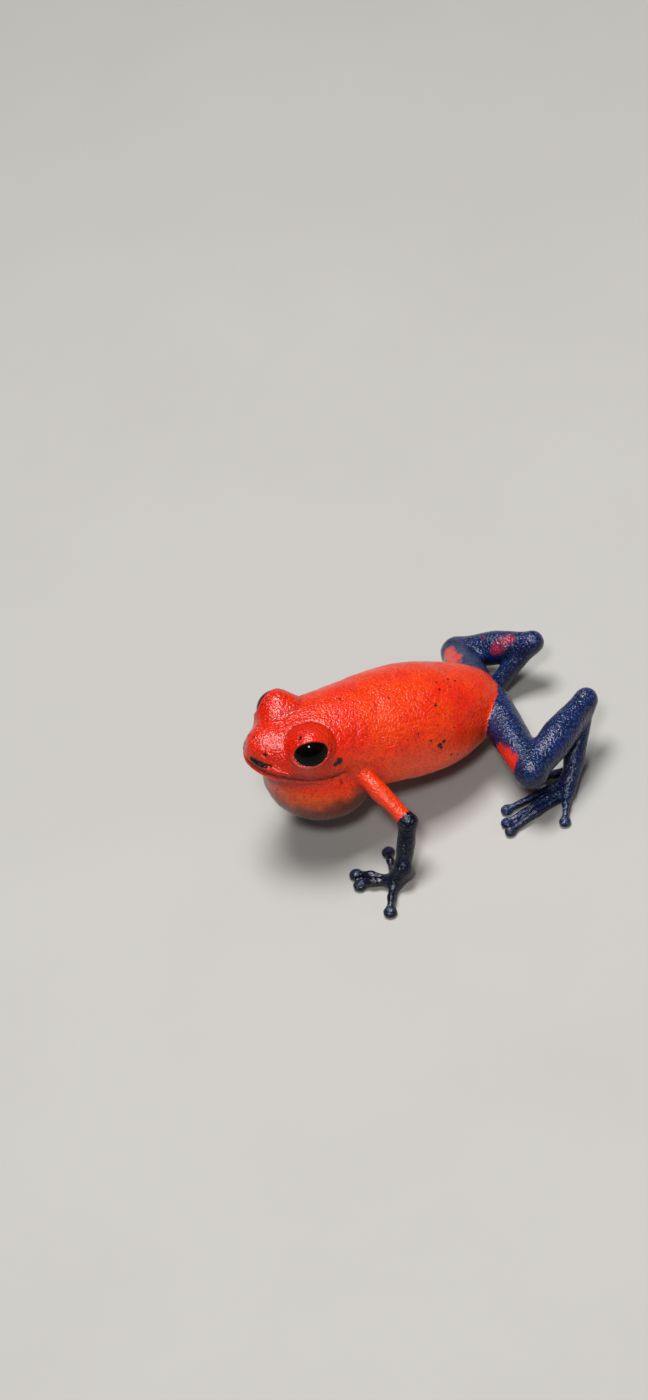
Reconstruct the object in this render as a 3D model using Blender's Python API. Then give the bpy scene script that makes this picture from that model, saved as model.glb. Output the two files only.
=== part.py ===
"""A calling strawberry poison frog, life size, as a still museum model."""

import math

import bmesh
import bpy
import numpy as np
from mathutils import Matrix, Vector

for old in list(bpy.data.objects):
    bpy.data.objects.remove(old)

MM = 0.001

# The frog's own sizes, in millimetres. Body places are (left, back, up) from the
# snout tip along the spine; floor places are (left, back, up) from under the snout.
SPINE_PITCH = math.radians(19.8)
SNOUT_HEIGHT = 11.37

# Each egg of the body: its centre, its radii and the width over which it blends in.
BELLY = ((0.0, 13.4, -1.0), (4.35, 6.9, 3.9), 0.1)
RUMP = ((0.0, 18.1, -0.45), (2.4, 2.8, 2.2), 1.5)
CHEST = ((0.0, 9.2, -1.25), (3.45, 4.2, 3.1), 2.0)
NAPE = ((0.0, 6.9, -0.4), (3.0, 3.2, 2.5), 1.5)
CRANIUM = ((0.0, 4.9, -0.55), (2.95, 3.5, 1.75), 1.4)
SNOUT = ((0.0, 2.5, -0.5), (1.6, 1.95, 1.15), 1.0)
THROAT = ((0.0, 5.75, -2.85), (2.75, 3.3, 1.6), 1.0)
JAW = ((0.0, 4.5, -1.5), (3.2, 3.85, 1.1), 0.75)
CHEEK = ((1.95, 5.2, -0.8), (1.5, 2.7, 1.3), 0.8)
BROW = ((2.28, 4.02, 0.5), (1.47, 1.47, 1.47), 1.0)
SAC = ((0.0, 6.75, -3.85), (3.9, 4.0, 3.2), 0.7)

EYE_AXIS = (0.855, -0.453, 0.25)
EYE_SET_OUT = 0.1
LID_OPENING = (1.14, 0.84)
LID_RIDGE = (1.18, 0.09, 0.13)
LID_TILT = -0.39

# Reliefs of the face: how far from their place they lie, how high they rise, how wide.
NOSTRIL = (1.2, 0.95, -0.15)
NOSTRIL_RIM = (0.3, 0.05, 0.12)
NOSTRIL_PIT = (0.0, -0.22, 0.15)
TYMPANUM = (3.2, 6.0, -0.75)
TYMPANUM_RIM = (0.5, 0.035, 0.12)
TYMPANUM_DIP = (0.0, -0.04, 0.4)
MOUTH_FRONT_HEIGHT = -1.42
MOUTH_SLOPE = -0.06
MOUTH_CORNER = 6.1
MOUTH_TURN_UP = 0.35
MOUTH_GROOVE = (0.0, -0.17, 0.17)
UPPER_LIP = (0.34, 0.06, 0.22)
LOWER_LIP = (-0.3, 0.05, 0.18)

SHOULDER = (2.75, 7.7, -1.6)
HIP = (1.2, 19.9, -0.35)

# Widths over which the limbs blend into the body.
THIGH_CREASE = 0.4
ARM_PIT = 0.45

UPPER_ARM_RADII = (0.66, 0.57)
FOREARM_RADII = (0.62, 0.53)
THIGH_RADII = (1.4, 1.12)
SHANK_RADII = (1.1, 0.82)
THIGH_SWELL = 0.06
CALF_SWELL = 0.28
TARSUS_RADII = (0.68, 0.68)
SOLE_RADII = (0.68, 0.6)
FINGER_RADIUS = 0.26
TOE_RADIUS = 0.27
FINGER_DISC = (0.5, 0.5, 0.3)
TOE_DISC = (0.43, 0.43, 0.28)
INSTEP = 0.62
TOE_ROOTS = (0.0, 0.45, 0.85, 1.0, 0.8)
TOE_ROOT_HEIGHTS = (0.5, 1.15)
INSTEP_DROP = {"left": 0.2, "right": 0.9}

# Where each limb's joints stand over the floor: elbow, wrist, palm; knee, heel, sole.
LEFT_ARM = ((7.2, 8.0, 4.35), (8.3, 6.45, 1.45), (8.1, 5.75, 0.6))
RIGHT_ARM = ((-6.85, 9.6, 3.5), (-6.9, 7.2, 1.4), (-6.65, 6.5, 0.6))
LEFT_LEG = ((8.4, 17.4, 4.25), (5.3, 24.0, 4.7), (8.55, 19.75, 0.5))
RIGHT_LEG = ((-6.95, 20.25, 1.95), (-2.48, 24.25, 4.12), (-3.3, 18.4, 0.5))

# Tips of the digits on the floor, inner digit first.
LEFT_FINGERS = ((5.25, 6.85), (5.65, 3.95), (6.7, 3.65), (10.15, 4.1))
RIGHT_FINGERS = ((-4.0, 6.9), (-4.5, 4.7), (-6.0, 4.0), (-8.4, 5.0))
LEFT_TOES = ((5.9, 18.9), (7.05, 15.6), (8.1, 14.95), (8.95, 14.75), (10.55, 18.3))
RIGHT_TOES = ((-1.5, 16.7), (-2.3, 14.8), (-3.8, 13.5), (-5.3, 13.4), (-6.5, 16.3))
TIP_HEIGHT = 0.26
KNUCKLE_HEIGHT = 0.62


def spine_turn():
    """Rotation that takes the body's frame to the floor's frame."""
    c, s = math.cos(SPINE_PITCH), math.sin(SPINE_PITCH)
    return np.array(((1.0, 0.0, 0.0), (0.0, c, s), (0.0, -s, c)))


def on_floor(place):
    """A place on the body, in the floor's frame."""
    return spine_turn() @ np.array(place) + np.array((0.0, 0.0, SNOUT_HEIGHT))


def mirrored(place):
    return (-place[0], place[1], place[2])


class Form:
    """A smooth solid, known by its distance function and by balls that fill it."""

    def __init__(self, distance, balls, centre, reach):
        self.distance = distance
        self.balls = balls
        self.centre = np.array(centre)
        self.reach = reach

    def near(self, points, margin=1.5):
        """Distance of each point, worked out only near the form."""
        far = np.linalg.norm(points - self.centre, axis=1) - self.reach
        close = far < margin
        far[close] = self.distance(points[close])
        return far


def egg(centre, radii, turn=None):
    """An ellipsoid with its axes turned by a rotation."""
    centre = np.array(centre)
    radii = np.array(radii)
    turn = np.eye(3) if turn is None else turn

    def distance(points):
        local = (points - centre) @ turn
        k0 = np.linalg.norm(local / radii, axis=1)
        k1 = np.linalg.norm(local / radii**2, axis=1)
        return k0 * (k0 - 1.0) / np.maximum(k1, 1e-6)

    return Form(distance, [(centre, radii, turn)], centre, radii.max())


def bone(start, end, radii, swell=0.0):
    """A tapered limb with round ends, swollen in the middle by its muscle."""
    start = np.array(start)
    end = np.array(end)
    axis = end - start
    length = np.linalg.norm(axis)

    def radius(t):
        return radii[0] + (radii[1] - radii[0]) * t + swell * np.sin(np.pi * t) ** 2

    def distance(points):
        t = np.clip((points - start) @ axis / length**2, 0.0, 1.0)
        return np.linalg.norm(points - start - t[:, None] * axis, axis=1) - radius(t)

    steps = np.linspace(0.0, 1.0, int(length / (0.4 * min(radii))) + 2)
    balls = [(start + t * axis, np.full(3, radius(t)), np.eye(3)) for t in steps]
    return Form(distance, balls, (start + end) / 2.0, length / 2.0 + max(radii) + swell)


def blend(a, b, width):
    """The smooth union of two distances, rounded over the width."""
    overlap = np.maximum(width - np.abs(a - b), 0.0) / width
    return np.minimum(a, b) - overlap**2 * width / 4.0


def trunk_forms():
    """The head and body, each with the width over which it blends into those before."""
    eggs = [BELLY, RUMP, CHEST, NAPE, CRANIUM, SNOUT, THROAT, JAW]
    for centre, radii, width in (CHEEK, BROW):
        eggs += [(centre, radii, width), (mirrored(centre), radii, width)]
    return [(egg(on_floor(centre), radii, spine_turn()), width) for centre, radii, width in eggs]


def sac_form():
    return egg(on_floor(SAC[0]), SAC[1], spine_turn())


def digit(root, tip, radius, disc, name):
    """A finger or toe: knuckle, last joint and the flat round disc at its tip."""
    root = np.array(root)
    tip = np.array((*tip, TIP_HEIGHT))
    knuckle = root + 0.52 * (tip - root)
    knuckle[2] = KNUCKLE_HEIGHT
    along = (tip - root) * (1.0, 1.0, 0.0)
    along /= np.linalg.norm(along)
    turn = np.array((along, (-along[1], along[0], 0.0), (0.0, 0.0, 1.0))).T
    forms = {
        name + "_base": bone(root, knuckle, (radius * 1.15, radius)),
        name + "_end": bone(knuckle, tip, (radius, radius * 0.82)),
        name + "_disc": egg(tip, disc, turn),
    }
    joins = [
        (name + "_base", name + "_end", 0.25),
        (name + "_end", name + "_disc", 0.22),
    ]
    return forms, joins


def arm(side, joints, tips):
    """Upper arm, forearm, palm and four fingers."""
    shoulder = on_floor(SHOULDER if side == "left" else mirrored(SHOULDER))
    elbow, wrist, palm = (np.array(p) for p in joints)
    forms = {
        "upper_arm_" + side: bone(shoulder, elbow, UPPER_ARM_RADII, 0.06),
        "forearm_" + side: bone(elbow, wrist, FOREARM_RADII, 0.08),
        "palm_" + side: bone(wrist, palm, (0.6, 0.66)),
    }
    joins = [
        ("trunk", "upper_arm_" + side, ARM_PIT),
        ("upper_arm_" + side, "forearm_" + side, 0.5),
        ("forearm_" + side, "palm_" + side, 0.5),
    ]
    for number, tip in enumerate(tips):
        name = f"finger_{side}_{number + 1}"
        toward = np.array((*tip, 0.5)) - palm
        root = palm + 0.5 * toward / np.linalg.norm(toward) * (1.0, 1.0, 0.0)
        root[2] = 0.5
        more, links = digit(root, tip, FINGER_RADIUS, FINGER_DISC, name)
        forms.update(more)
        joins += links + [("palm_" + side, name + "_base", 0.45)]
    return forms, joins


def leg(side, joints, tips):
    """Thigh, shank, tarsus with the sole, and five toes."""
    hip = on_floor(HIP if side == "left" else mirrored(HIP))
    knee, heel, sole = (np.array(p) for p in joints)
    middle = heel + INSTEP * (sole - heel) - (0.0, 0.0, INSTEP_DROP[side])
    forms = {
        "thigh_" + side: bone(hip, knee, THIGH_RADII, THIGH_SWELL),
        "shank_" + side: bone(knee, heel, SHANK_RADII, CALF_SWELL),
        "tarsus_" + side: bone(heel, middle, TARSUS_RADII, 0.0),
        "sole_" + side: bone(middle, sole, SOLE_RADII, 0.0),
    }
    joins = [
        ("trunk", "thigh_" + side, THIGH_CREASE),
        ("thigh_" + side, "shank_" + side, 0.5),
        ("shank_" + side, "tarsus_" + side, 0.4),
        ("tarsus_" + side, "sole_" + side, 0.4),
    ]
    for number, tip in enumerate(tips):
        name = f"toe_{side}_{number + 1}"
        share = TOE_ROOTS[number]
        root = middle + share * (sole - middle)
        root[2] = np.clip(root[2], *TOE_ROOT_HEIGHTS)
        more, links = digit(root, tip, TOE_RADIUS, TOE_DISC, name)
        forms.update(more)
        joins += links + [("sole_" + side, name + "_base", 0.45)]
    return forms, joins


def frog_forms():
    """Every form but the trunk's, and the pairs that blend."""
    forms = {}
    joins = []
    limbs = (
        arm("left", LEFT_ARM, LEFT_FINGERS),
        arm("right", RIGHT_ARM, RIGHT_FINGERS),
        leg("left", LEFT_LEG, LEFT_TOES),
        leg("right", RIGHT_LEG, RIGHT_TOES),
    )
    for more, links in limbs:
        forms.update(more)
        joins += links
    return forms, joins


def ridge(distance, relief):
    """A smooth rise at the relief's own distance, which fades over its width."""
    at, height, width = relief
    return height * np.exp(-(((distance - at) / width) ** 2))


def ramp(value, low, high):
    """Smooth step from 0 at low to 1 at high."""
    t = np.clip((value - low) / (high - low), 0.0, 1.0)
    return t * t * (3.0 - 2.0 * t)


def to_body(points):
    """Floor places seen from the body's frame."""
    return (points - (0.0, 0.0, SNOUT_HEIGHT)) @ spine_turn()


def mouth_height(back):
    """Height of the mouth line in the body's frame, turned up at its corner."""
    corner = ramp(back, MOUTH_CORNER - 0.7, MOUTH_CORNER + 0.7)
    return MOUTH_FRONT_HEIGHT + MOUTH_SLOPE * back + MOUTH_TURN_UP * corner


def eye_frame(side):
    """Centre of the eye in the body's frame, and its outward, lengthwise and upward axes."""
    flip = (side, 1.0, 1.0)
    out = np.array(EYE_AXIS) * flip / np.linalg.norm(EYE_AXIS)
    length = np.cross(out, (0.0, LID_TILT, 1.0))
    length /= np.linalg.norm(length)
    up = np.cross(length, out)
    centre = np.array(BROW[0]) * flip + EYE_SET_OUT * out
    return centre, out, length, up


def lid_ring(body_points, side):
    """How far out in the lid opening's ellipse each point lies: 1 on the lid's edge."""
    centre, out, length, up = eye_frame(side)
    local = body_points - centre
    ring = np.hypot(local @ length / LID_OPENING[0], local @ up / LID_OPENING[1])
    return np.where(local @ out > 0.0, ring, 9.0)


def face_relief(points):
    """How far the skin stands out at the lips, lids, nostrils and ear drums."""
    place = to_body(points)
    relief = np.zeros(len(points))
    head = place[:, 1] < MOUTH_CORNER + 1.2
    place = place[head]
    back, up = place[:, 1], place[:, 2]
    off_mouth = up - mouth_height(back)
    along_mouth = 1.0 - ramp(back, MOUTH_CORNER, MOUTH_CORNER + 0.8)
    rise = sum(ridge(off_mouth, lip) for lip in (MOUTH_GROOVE, UPPER_LIP, LOWER_LIP))
    rise *= along_mouth
    for side in (1.0, -1.0):
        rise += ridge(lid_ring(place, side), LID_RIDGE)
        from_nostril = np.linalg.norm(place - np.array(NOSTRIL) * (side, 1, 1), axis=1)
        rise += ridge(from_nostril, NOSTRIL_RIM) + ridge(from_nostril, NOSTRIL_PIT)
        from_drum = np.linalg.norm(place - np.array(TYMPANUM) * (side, 1, 1), axis=1)
        rise += ridge(from_drum, TYMPANUM_RIM) + ridge(from_drum, TYMPANUM_DIP)
    relief[head] = rise
    return relief


def frog_field(with_sac):
    """Distance to the whole frog's skin, as a function of points over the floor."""
    trunk = trunk_forms()
    if with_sac:
        trunk.append((sac_form(), SAC[2]))
    forms, joins = frog_forms()

    def field(points):
        body = None
        for form, width in trunk:
            here = form.distance(points)
            body = here if body is None else blend(body, here, width)
        apart = {name: form.near(points) for name, form in forms.items()}
        apart["trunk"] = body
        whole = body
        for a, b, width in joins:
            whole = np.minimum(whole, blend(apart[a], apart[b], width))
        return whole - face_relief(points)

    return field


def filling_balls(with_sac):
    forms = [form for form, _ in trunk_forms()] + list(frog_forms()[0].values())
    if with_sac:
        forms.append(sac_form())
    return [ball for form in forms for ball in form.balls]


def ball_mesh(name, balls):
    """One mesh that holds a round ball for each entry."""
    bm = bmesh.new()
    bmesh.ops.create_icosphere(bm, subdivisions=3, radius=1.0)
    round_points = np.array([vertex.co for vertex in bm.verts])
    round_faces = np.array([[vertex.index for vertex in face.verts] for face in bm.faces])
    bm.free()
    points = [centre + (round_points * radii) @ turn.T for centre, radii, turn in balls]
    faces = [round_faces + number * len(round_points) for number in range(len(balls))]
    mesh = bpy.data.meshes.new(name)
    mesh.from_pydata(np.concatenate(points).tolist(), [], np.concatenate(faces).tolist())
    return mesh


def new_object(name, mesh):
    obj = bpy.data.objects.new(name, mesh)
    bpy.context.scene.collection.objects.link(obj)
    return obj


def apply_modifiers(obj):
    """Replaces an object's mesh by the one its modifiers make."""
    bpy.context.view_layer.update()
    graph = bpy.context.evaluated_depsgraph_get()
    mesh = bpy.data.meshes.new_from_object(obj.evaluated_get(graph))
    old = obj.data
    obj.modifiers.clear()
    obj.data = mesh
    bpy.data.meshes.remove(old)


def remesh(obj, voxel):
    """Joins all that overlaps into one even surface."""
    modifier = obj.modifiers.new("join", "REMESH")
    modifier.mode = "VOXEL"
    modifier.voxel_size = voxel
    apply_modifiers(obj)


def settle(mesh, field, rounds):
    """Draws each vertex along the field's slope until it lies on the skin."""
    points = np.empty(len(mesh.vertices) * 3)
    mesh.vertices.foreach_get("co", points)
    points = points.reshape(-1, 3)
    step = 0.05
    corners = np.array(((1, -1, -1), (-1, -1, 1), (-1, 1, -1), (1, 1, 1))) * step
    for _ in range(rounds):
        samples = [field(points + corner) for corner in corners]
        value = sum(samples) / 4.0
        slope = sum(s[:, None] * c for s, c in zip(samples, corners)) / (4.0 * step**2)
        steep = np.maximum((slope**2).sum(axis=1), 0.2)
        points -= (np.clip(value, -0.6, 0.6) / steep)[:, None] * slope
    mesh.vertices.foreach_set("co", points.ravel())
    mesh.update()


def relax(obj):
    """Evens out the spacing of the vertices."""
    modifier = obj.modifiers.new("relax", "SMOOTH")
    modifier.factor = 0.5
    modifier.iterations = 3
    apply_modifiers(obj)


def settled(name, balls, field, voxel):
    """A closed skin that lies on the field, grown from balls that fill it."""
    skin = new_object(name, ball_mesh(name, balls))
    remesh(skin, voxel * 1.3)
    settle(skin.data, field, 2)
    remesh(skin, voxel)
    settle(skin.data, field, 2)
    relax(skin)
    settle(skin.data, field, 2)
    return skin


# Sizes of the pieces and of the thin cuts between them, in millimetres.
GAP = 0.3
EYEBALL_RADIUS = 1.11
SOCKET_RADIUS = 1.31
EYE_SEGMENTS = 20
SKIN_VOXEL = 0.15
SKIN_TRIANGLES = 12200
CLEARANCE_VOXEL = 0.25
CLEARANCE_TRIANGLES = 5000
NECK_CUT = ((0.0, 7.05, -1.0), 5.0)
ARM_ROOTS = {"left": 1.95, "right": 2.75}
ARM_CUT_RADIUS = 1.3
WRIST_CUT_RADIUS = 0.8
THIGH_ROOT = 2.75
THIGH_CUT_RADIUS = 2.3
THIGH_CUT_TILT = 0.3
CUT_MARGIN = 0.55
CROTCH_MARGIN = 1.2

COLOURS = {
    "torso": ((0.78, 0.075, 0.012), 0.32),
    "head": ((0.74, 0.06, 0.015), 0.3),
    "vocal_sac": ((0.72, 0.14, 0.012), 0.34),
    "eye": ((0.006, 0.005, 0.005), 0.05),
    "upper_arm": ((0.78, 0.07, 0.012), 0.32),
    "forearm": ((0.012, 0.015, 0.045), 0.3),
    "hand": ((0.012, 0.022, 0.085), 0.3),
    "thigh": ((0.02, 0.035, 0.14), 0.34),
    "shank": ((0.022, 0.04, 0.15), 0.34),
    "foot": ((0.012, 0.024, 0.1), 0.3),
}


def unit(vector):
    return np.array(vector) / np.linalg.norm(vector)


def disc_cutter(bm, centre, normal, radius):
    """A thin disc, one gap thick, that parts two pieces."""
    turn = Vector(normal).to_track_quat("Z", "Y").to_matrix().to_4x4()
    place = Matrix.Translation(Vector(centre)) @ turn
    bmesh.ops.create_cone(
        bm,
        cap_ends=True,
        segments=24,
        radius1=radius,
        radius2=radius,
        depth=GAP,
        matrix=place,
    )


def lid_cutter(bm, side):
    """The oval opening between the lids, from the eye's centre outward."""
    centre, out, length, up = eye_frame(side)
    turn = spine_turn()
    axes = turn @ np.array((up * LID_OPENING[1], length * LID_OPENING[0], out)).T
    place = Matrix(axes.tolist()).to_4x4()
    place.translation = Vector(on_floor(centre + out))
    bmesh.ops.create_cone(
        bm, cap_ends=True, segments=20, radius1=1.0, radius2=1.0, depth=2.0, matrix=place
    )


def ball_cutter(bm, centre, radius):
    bmesh.ops.create_uvsphere(
        bm,
        u_segments=EYE_SEGMENTS,
        v_segments=EYE_SEGMENTS // 2,
        radius=radius,
        matrix=Matrix.Translation(Vector(centre)),
    )


def helper(name, build):
    """An object that only cuts, so it is left out of renders."""
    bm = bmesh.new()
    build(bm)
    mesh = bpy.data.meshes.new(name)
    bm.to_mesh(mesh)
    bm.free()
    obj = new_object(name, mesh)
    obj.hide_render = True
    obj.display_type = "WIRE"
    return obj


def cut(obj, cutter):
    """Cuts one object by another and drops the cutter."""
    modifier = obj.modifiers.new("cut", "BOOLEAN")
    modifier.operation = "DIFFERENCE"
    modifier.solver = "EXACT"
    modifier.object = cutter
    apply_modifiers(obj)
    bpy.data.objects.remove(cutter)


def thin(obj, triangles):
    """Lowers the number of triangles, most where the skin is flattest."""
    count = sum(len(face.vertices) - 2 for face in obj.data.polygons)
    modifier = obj.modifiers.new("thin", "DECIMATE")
    modifier.ratio = triangles / count
    modifier.use_collapse_triangulate = True
    apply_modifiers(obj)


def flatten_on_floor(mesh):
    """Cuts off what dips under the floor, which leaves small flats at one level."""
    bm = bmesh.new()
    bm.from_mesh(mesh)
    everything = bm.verts[:] + bm.edges[:] + bm.faces[:]
    bmesh.ops.bisect_plane(
        bm, geom=everything, dist=1e-5, plane_co=(0, 0, 0), plane_no=(0, 0, 1), clear_inner=True
    )
    rim = [edge for edge in bm.edges if edge.is_boundary]
    bmesh.ops.holes_fill(bm, edges=rim, sides=0)
    bmesh.ops.triangulate(bm, faces=bm.faces[:])
    bm.to_mesh(mesh)
    bm.free()


def bend_cut(bm, before, joint, after, limb_radius):
    """Cuts a limb at a bent joint, along the plane that halves its angle."""
    coming = unit(joint - before)
    going = unit(after - joint)
    half_angle = math.acos(float(np.clip(-coming @ going, -1.0, 1.0))) / 2.0
    inside = limb_radius / math.sin(half_angle) + CROTCH_MARGIN
    outside = limb_radius + CUT_MARGIN
    centre = joint + unit(going - coming) * (inside - outside) / 2.0
    disc_cutter(bm, centre, unit(coming + going), (inside + outside) / 2.0)


def limb_cuts(bm):
    """Every cut through the limbs."""
    for side, joints in (("left", LEFT_ARM), ("right", RIGHT_ARM)):
        elbow, wrist, palm = (np.array(p) for p in joints)
        shoulder = on_floor(SHOULDER if side == "left" else mirrored(SHOULDER))
        along = unit(elbow - shoulder)
        disc_cutter(bm, shoulder + ARM_ROOTS[side] * along, along, ARM_CUT_RADIUS)
        bend_cut(bm, shoulder, elbow, wrist, UPPER_ARM_RADII[1])
        disc_cutter(bm, wrist, unit(wrist - elbow), WRIST_CUT_RADIUS)
    for side, joints in (("left", LEFT_LEG), ("right", RIGHT_LEG)):
        knee, heel, sole = (np.array(p) for p in joints)
        hip = on_floor(HIP if side == "left" else mirrored(HIP))
        along = unit(knee - hip)
        outward = unit(along + (0.0, THIGH_CUT_TILT, 0.0))
        disc_cutter(bm, hip + THIGH_ROOT * along, outward, THIGH_CUT_RADIUS)
        bend_cut(bm, hip, knee, heel, THIGH_RADII[1])
        bend_cut(bm, knee, heel, sole, SHANK_RADII[1])


def seeds():
    """A point inside each node that comes out of the cut skin."""
    found = {"torso": on_floor(BELLY[0]), "head": on_floor(SNOUT[0])}
    for side, joints in (("left", LEFT_ARM), ("right", RIGHT_ARM)):
        elbow, wrist, palm = (np.array(p) for p in joints)
        shoulder = on_floor(SHOULDER if side == "left" else mirrored(SHOULDER))
        found["upper_arm_" + side] = shoulder + 0.8 * (elbow - shoulder)
        found["forearm_" + side] = (elbow + wrist) / 2.0
        found["hand_" + side] = palm
    for side, joints in (("left", LEFT_LEG), ("right", RIGHT_LEG)):
        knee, heel, sole = (np.array(p) for p in joints)
        hip = on_floor(HIP if side == "left" else mirrored(HIP))
        found["thigh_" + side] = hip + 0.7 * (knee - hip)
        found["shank_" + side] = (knee + heel) / 2.0
        found["foot_" + side] = sole
    return found


def islands(mesh):
    """The mesh's separate surfaces, each as its list of face numbers."""
    bm = bmesh.new()
    bm.from_mesh(mesh)
    bm.faces.ensure_lookup_table()
    left = set(range(len(bm.faces)))
    groups = []
    while left:
        start = left.pop()
        group = [start]
        waiting = [bm.faces[start]]
        while waiting:
            face = waiting.pop()
            for edge in face.edges:
                for other in edge.link_faces:
                    if other.index in left:
                        left.remove(other.index)
                        group.append(other.index)
                        waiting.append(other)
        groups.append(group)
    bm.free()
    return groups


def mesh_of_faces(name, mesh, faces):
    """A new mesh that holds only the given faces."""
    bm = bmesh.new()
    bm.from_mesh(mesh)
    bm.faces.ensure_lookup_table()
    kept = {bm.faces[number] for number in faces}
    drop = [face for face in bm.faces if face not in kept]
    bmesh.ops.delete(bm, geom=drop, context="FACES")
    loose = [vert for vert in bm.verts if not vert.link_faces]
    bmesh.ops.delete(bm, geom=loose, context="VERTS")
    bmesh.ops.triangulate(bm, faces=bm.faces[:])
    piece = bpy.data.meshes.new(name)
    bm.to_mesh(piece)
    bm.free()
    return piece


def largest(name, mesh):
    return mesh_of_faces(name, mesh, max(islands(mesh), key=len))


def part_into_nodes(skin):
    """One object for each named piece of the cut skin."""
    mesh = skin.data
    groups = islands(mesh)
    points = np.array([vertex.co for vertex in mesh.vertices])
    corners = [
        np.unique([i for number in group for i in mesh.polygons[number].vertices])
        for group in groups
    ]
    nodes = []
    for name, seed in seeds().items():
        gaps = [
            np.linalg.norm(points[c] - seed, axis=1).min() if len(c) > 30 else 99.0
            for c in corners
        ]
        nearest = int(np.argmin(gaps))
        nodes.append(new_object(name, mesh_of_faces(name, mesh, groups[nearest])))
    bpy.data.objects.remove(skin)
    return nodes


def make_skin_nodes():
    """The head, torso and limbs, modelled whole and parted by thin cuts."""
    skin = settled("skin", filling_balls(False), frog_field(False), SKIN_VOXEL)
    thin(skin, SKIN_TRIANGLES)
    flatten_on_floor(skin.data)
    neck, neck_radius = NECK_CUT
    along = spine_turn() @ np.array((0.0, 1.0, 0.0))
    cut(skin, helper("neck", lambda bm: disc_cutter(bm, on_floor(neck), along, neck_radius)))
    cut(skin, helper("limb_cuts", limb_cuts))
    for side in (1.0, -1.0):
        centre = on_floor(eye_frame(side)[0])
        cut(skin, helper("socket", lambda bm: ball_cutter(bm, centre, SOCKET_RADIUS)))
        cut(skin, helper("lids", lambda bm: lid_cutter(bm, side)))
    return part_into_nodes(skin)


def make_sac():
    """The blown-up vocal sac, cut clear of the throat, chest and arms."""
    core = frog_field(False)
    clear = settled("clear", filling_balls(False), lambda points: core(points) - GAP, CLEARANCE_VOXEL)
    thin(clear, CLEARANCE_TRIANGLES)
    sac = new_object("whole_sac", ball_mesh("whole_sac", sac_form().balls))
    clear.hide_render = True
    cut(sac, clear)
    node = new_object("vocal_sac", largest("vocal_sac", sac.data))
    bpy.data.objects.remove(sac)
    return node


def make_eye(side, name):
    """A glossy ball in its socket."""
    centre = on_floor(eye_frame(side)[0])
    eye = helper(name, lambda bm: ball_cutter(bm, centre, EYEBALL_RADIUS))
    eye.hide_render = False
    eye.display_type = "TEXTURED"
    return eye


def add_material(obj, name, colour, roughness):
    material = bpy.data.materials.new(name)
    material.use_nodes = True
    shader = material.node_tree.nodes["Principled BSDF"]
    shader.inputs["Base Color"].default_value = (*colour, 1.0)
    shader.inputs["Roughness"].default_value = roughness
    shader.inputs["Metallic"].default_value = 0.0
    obj.data.materials.clear()
    obj.data.materials.append(material)


def kind_of(name):
    return name.replace("_left", "").replace("_right", "")


def set_origin_under_middle(nodes):
    """Moves the frog over the origin and turns millimetres into metres."""
    points = np.array([vertex.co for obj in nodes for vertex in obj.data.vertices])
    middle = (points.min(axis=0) + points.max(axis=0)) / 2.0
    shift = Matrix.Translation((-middle[0], -middle[1], 0.0))
    for obj in nodes:
        obj.data.transform(Matrix.Scale(MM, 4) @ shift)


def main():
    nodes = make_skin_nodes()
    nodes.append(make_sac())
    nodes.append(make_eye(1.0, "eye_left"))
    nodes.append(make_eye(-1.0, "eye_right"))
    set_origin_under_middle(nodes)
    for obj in nodes:
        colour, roughness = COLOURS[kind_of(obj.name)]
        add_material(obj, obj.name + "_skin", colour, roughness)
        obj.data.shade_smooth()
        obj.data.set_sharp_from_angle(angle=math.radians(50))


main()
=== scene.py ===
"""The look of a calling strawberry poison frog, life size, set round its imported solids."""

import math

import bmesh
import bpy
import numpy as np
from mathutils import Matrix, Vector, noise


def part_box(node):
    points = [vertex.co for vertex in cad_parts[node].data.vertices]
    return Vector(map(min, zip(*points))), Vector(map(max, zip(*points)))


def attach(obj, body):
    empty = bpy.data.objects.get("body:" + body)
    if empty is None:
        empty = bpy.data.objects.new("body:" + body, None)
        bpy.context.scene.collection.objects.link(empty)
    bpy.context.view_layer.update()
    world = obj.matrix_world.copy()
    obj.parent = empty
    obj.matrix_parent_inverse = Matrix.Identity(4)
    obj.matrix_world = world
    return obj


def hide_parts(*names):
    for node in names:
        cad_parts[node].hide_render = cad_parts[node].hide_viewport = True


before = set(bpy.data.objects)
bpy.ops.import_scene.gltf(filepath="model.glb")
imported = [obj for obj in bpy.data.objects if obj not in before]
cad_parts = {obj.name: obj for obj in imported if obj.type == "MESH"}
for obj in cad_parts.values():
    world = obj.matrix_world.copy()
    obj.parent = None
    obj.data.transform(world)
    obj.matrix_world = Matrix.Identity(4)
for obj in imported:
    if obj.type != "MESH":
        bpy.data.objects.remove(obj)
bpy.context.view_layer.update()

MM = 0.001

# The frog's own sizes, in millimetres. Body places are (left, back, up) from the
# snout tip along the spine; floor places are (left, back, up) from under the snout.
SPINE_PITCH = math.radians(19.8)
SNOUT_HEIGHT = 11.37

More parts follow.
